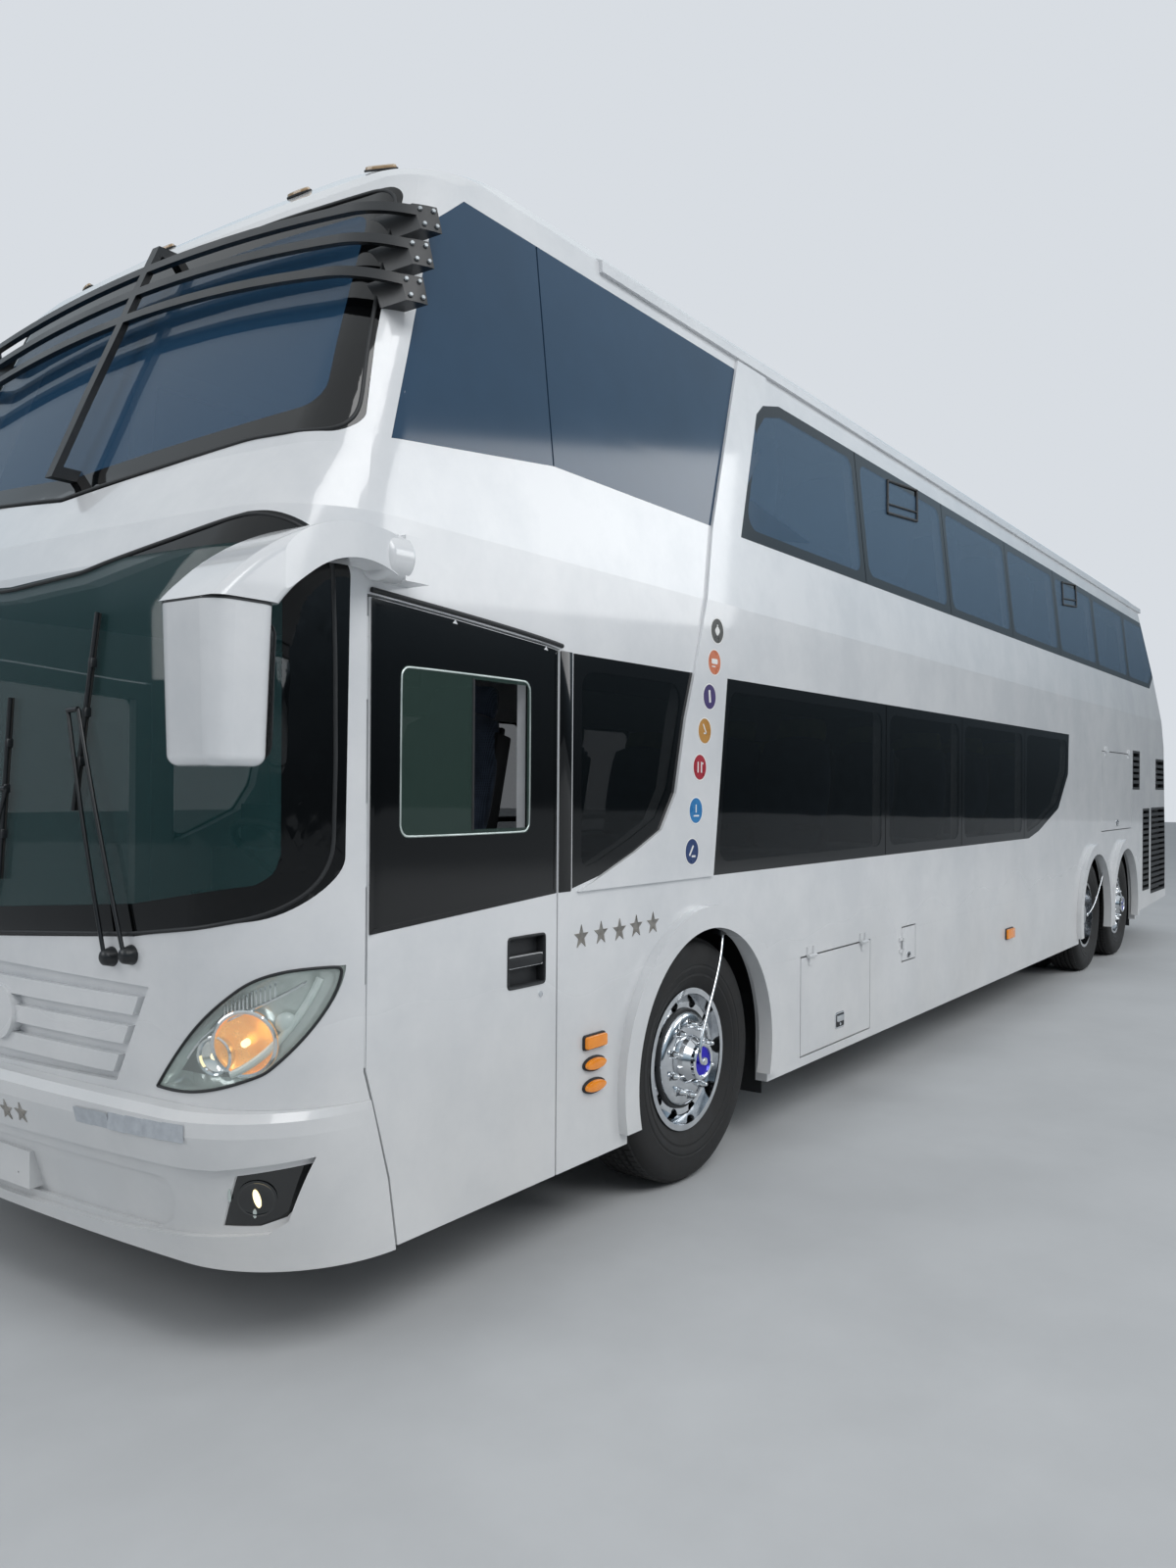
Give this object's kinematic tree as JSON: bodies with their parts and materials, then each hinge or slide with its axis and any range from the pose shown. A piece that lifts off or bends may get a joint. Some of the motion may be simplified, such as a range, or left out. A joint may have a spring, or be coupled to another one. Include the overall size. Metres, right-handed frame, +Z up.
{
  "type": "double-deck coach bus",
  "caption": "White double-deck touring coach with dark bonded side glass, a brow between its windscreens, a swept side pillar, hinged doors and flaps, and steered front wheels.",
  "frame": {"origin": "on the ground under the middle of the coach's length and width", "axes": "+X towards the coach's front, +Y towards the driver's (left) side, +Z up"},
  "size_m": [13.8543, 2.988, 4.027],
  "materials": {
    "coach_paint": "gloss pearl white",
    "bumper_paint": "gloss white moulded panel",
    "mirror_shell": "gloss white moulded shell",
    "clear_glass": "laminated screen glass",
    "tinted_glass": "dark tinted bonded glass",
    "lamp_lens": "clear moulded lens",
    "red_lens": "red lens",
    "amber_lens": "amber lens",
    "black_plastic": "black moulded grille",
    "black_metal": "satin black",
    "underbody_plastic": "textured black liner",
    "floor_cover": "vinyl floor",
    "zinc_sheet": "bare zinc sheet",
    "frame_steel": "black chassis paint",
    "cast_block": "cast iron",
    "tank_alloy": "dull alloy",
    "dash_plastic": "moulded dash",
    "seat_cloth": "woven seat cloth",
    "tyre_rubber": "road tyre rubber",
    "wheel_chrome": "polished wheel"
  },
  "bodies": {
    "coach": {"chassis_frame": "frame_steel", "cross_members": "frame_steel", "dashboard": "dash_plastic", "driver_seat": "seat_cloth", "engine_block": "cast_block", "front_axle": "frame_steel", "front_bumper": "bumper_paint", "front_lamps": "lamp_lens", "front_mask": "coach_paint", "fuel_tank": "tank_alloy", "grille_panel": "bumper_paint", "louvre_rack": "black_metal", "lower_floor": "floor_cover", "lower_side_left": "coach_paint", "lower_side_right": "coach_paint", "luggage_bays": "zinc_sheet", "marker_lamps": "amber_lens", "mirrors": "mirror_shell", "passenger_door": "coach_paint", "passenger_seats": "seat_cloth", "rear_axles": "frame_steel", "rear_wall": "coach_paint", "roof": "coach_paint", "screens": "clear_glass", "side_glass_left": "tinted_glass", "side_glass_right": "tinted_glass", "side_grilles": "black_plastic", "stairs": "floor_cover", "swoosh_pillars": "coach_paint", "tail_lamps": "red_lens", "towing_jaw": "frame_steel", "upper_floor": "floor_cover", "upper_side_left": "coach_paint", "upper_side_right": "coach_paint", "wheel_housings": "underbody_plastic", "wipers": "black_metal"},
    "driver_door": {"driver_door": "coach_paint", "driver_door_glass": "tinted_glass"},
    "luggage_flap_left": {"luggage_flap_left": "coach_paint"},
    "luggage_flap_right": {"luggage_flap_right": "coach_paint"},
    "engine_door_left": {"engine_door_left": "coach_paint"},
    "fuel_flap": {"fuel_flap": "coach_paint"},
    "rear_lid": {"rear_lid": "coach_paint"},
    "knuckle_left": {"knuckle_left": "cast_block"},
    "knuckle_right": {"knuckle_right": "cast_block"},
    "wheel_front_left": {"tyre_front_left": "tyre_rubber", "rim_front_left": "wheel_chrome"},
    "wheel_front_right": {"tyre_front_right": "tyre_rubber", "rim_front_right": "wheel_chrome"},
    "wheel_drive_left": {"tyre_drive_left": "tyre_rubber", "rim_drive_left": "wheel_chrome"},
    "wheel_drive_right": {"tyre_drive_right": "tyre_rubber", "rim_drive_right": "wheel_chrome"},
    "wheel_tag_left": {"tyre_tag_left": "tyre_rubber", "rim_tag_left": "wheel_chrome"},
    "wheel_tag_right": {"tyre_tag_right": "tyre_rubber", "rim_tag_right": "wheel_chrome"}
  },
  "joints": [
    {"name": "driver_door_hinge", "type": "hinge", "parent": "coach", "child": "driver_door", "pos_m": [6.247, 1.29, 1.3], "axis": [0, 0, -1], "range_deg": [0, 75]},
    {"name": "luggage_flap_left_hinge", "type": "hinge", "parent": "coach", "child": "luggage_flap_left", "pos_m": [2.9, 1.312, 0.844], "axis": [1, 0, 0], "range_deg": [0, 95]},
    {"name": "luggage_flap_right_hinge", "type": "hinge", "parent": "coach", "child": "luggage_flap_right", "pos_m": [2.9, -1.312, 0.844], "axis": [-1, 0, 0], "range_deg": [0, 95]},
    {"name": "engine_door_left_hinge", "type": "hinge", "parent": "coach", "child": "engine_door_left", "pos_m": [-3.9675, 1.312, 2.044], "axis": [1, 0, 0], "range_deg": [0, 90]},
    {"name": "fuel_flap_hinge", "type": "hinge", "parent": "coach", "child": "fuel_flap", "pos_m": [1.974, 1.312, 0.764], "axis": [0, 0, -1], "range_deg": [0, 110]},
    {"name": "rear_lid_hinge", "type": "hinge", "parent": "coach", "child": "rear_lid", "pos_m": [-6.805, 0, 1.704], "axis": [0, 1, 0], "range_deg": [0, 70]},
    {"name": "steering_left", "type": "hinge", "parent": "coach", "child": "knuckle_left", "pos_m": [4.29, 0.93, 0.516], "axis": [0, 0, 1], "range_deg": [-38, 38]},
    {"name": "steering_right", "type": "hinge", "parent": "coach", "child": "knuckle_right", "pos_m": [4.29, -0.93, 0.516], "axis": [0, 0, 1], "range_deg": [-38, 38]},
    {"name": "spin_front_left", "type": "hinge", "parent": "knuckle_left", "child": "wheel_front_left", "pos_m": [4.29, 1.106, 0.516], "axis": [0, 1, 0], "continuous": true},
    {"name": "spin_front_right", "type": "hinge", "parent": "knuckle_right", "child": "wheel_front_right", "pos_m": [4.29, -1.106, 0.516], "axis": [0, 1, 0], "continuous": true},
    {"name": "spin_drive_left", "type": "hinge", "parent": "coach", "child": "wheel_drive_left", "pos_m": [-2.97, 0.941, 0.516], "axis": [0, 1, 0], "continuous": true},
    {"name": "spin_drive_right", "type": "hinge", "parent": "coach", "child": "wheel_drive_right", "pos_m": [-2.97, -0.941, 0.516], "axis": [0, 1, 0], "continuous": true},
    {"name": "spin_tag_left", "type": "hinge", "parent": "coach", "child": "wheel_tag_left", "pos_m": [-4.28, 1.106, 0.516], "axis": [0, 1, 0], "continuous": true},
    {"name": "spin_tag_right", "type": "hinge", "parent": "coach", "child": "wheel_tag_right", "pos_m": [-4.28, -1.106, 0.516], "axis": [0, 1, 0], "continuous": true}
  ],
  "couplings": [
    {"joint": "steering_right", "follows": "steering_left", "ratio": 1}
  ]
}
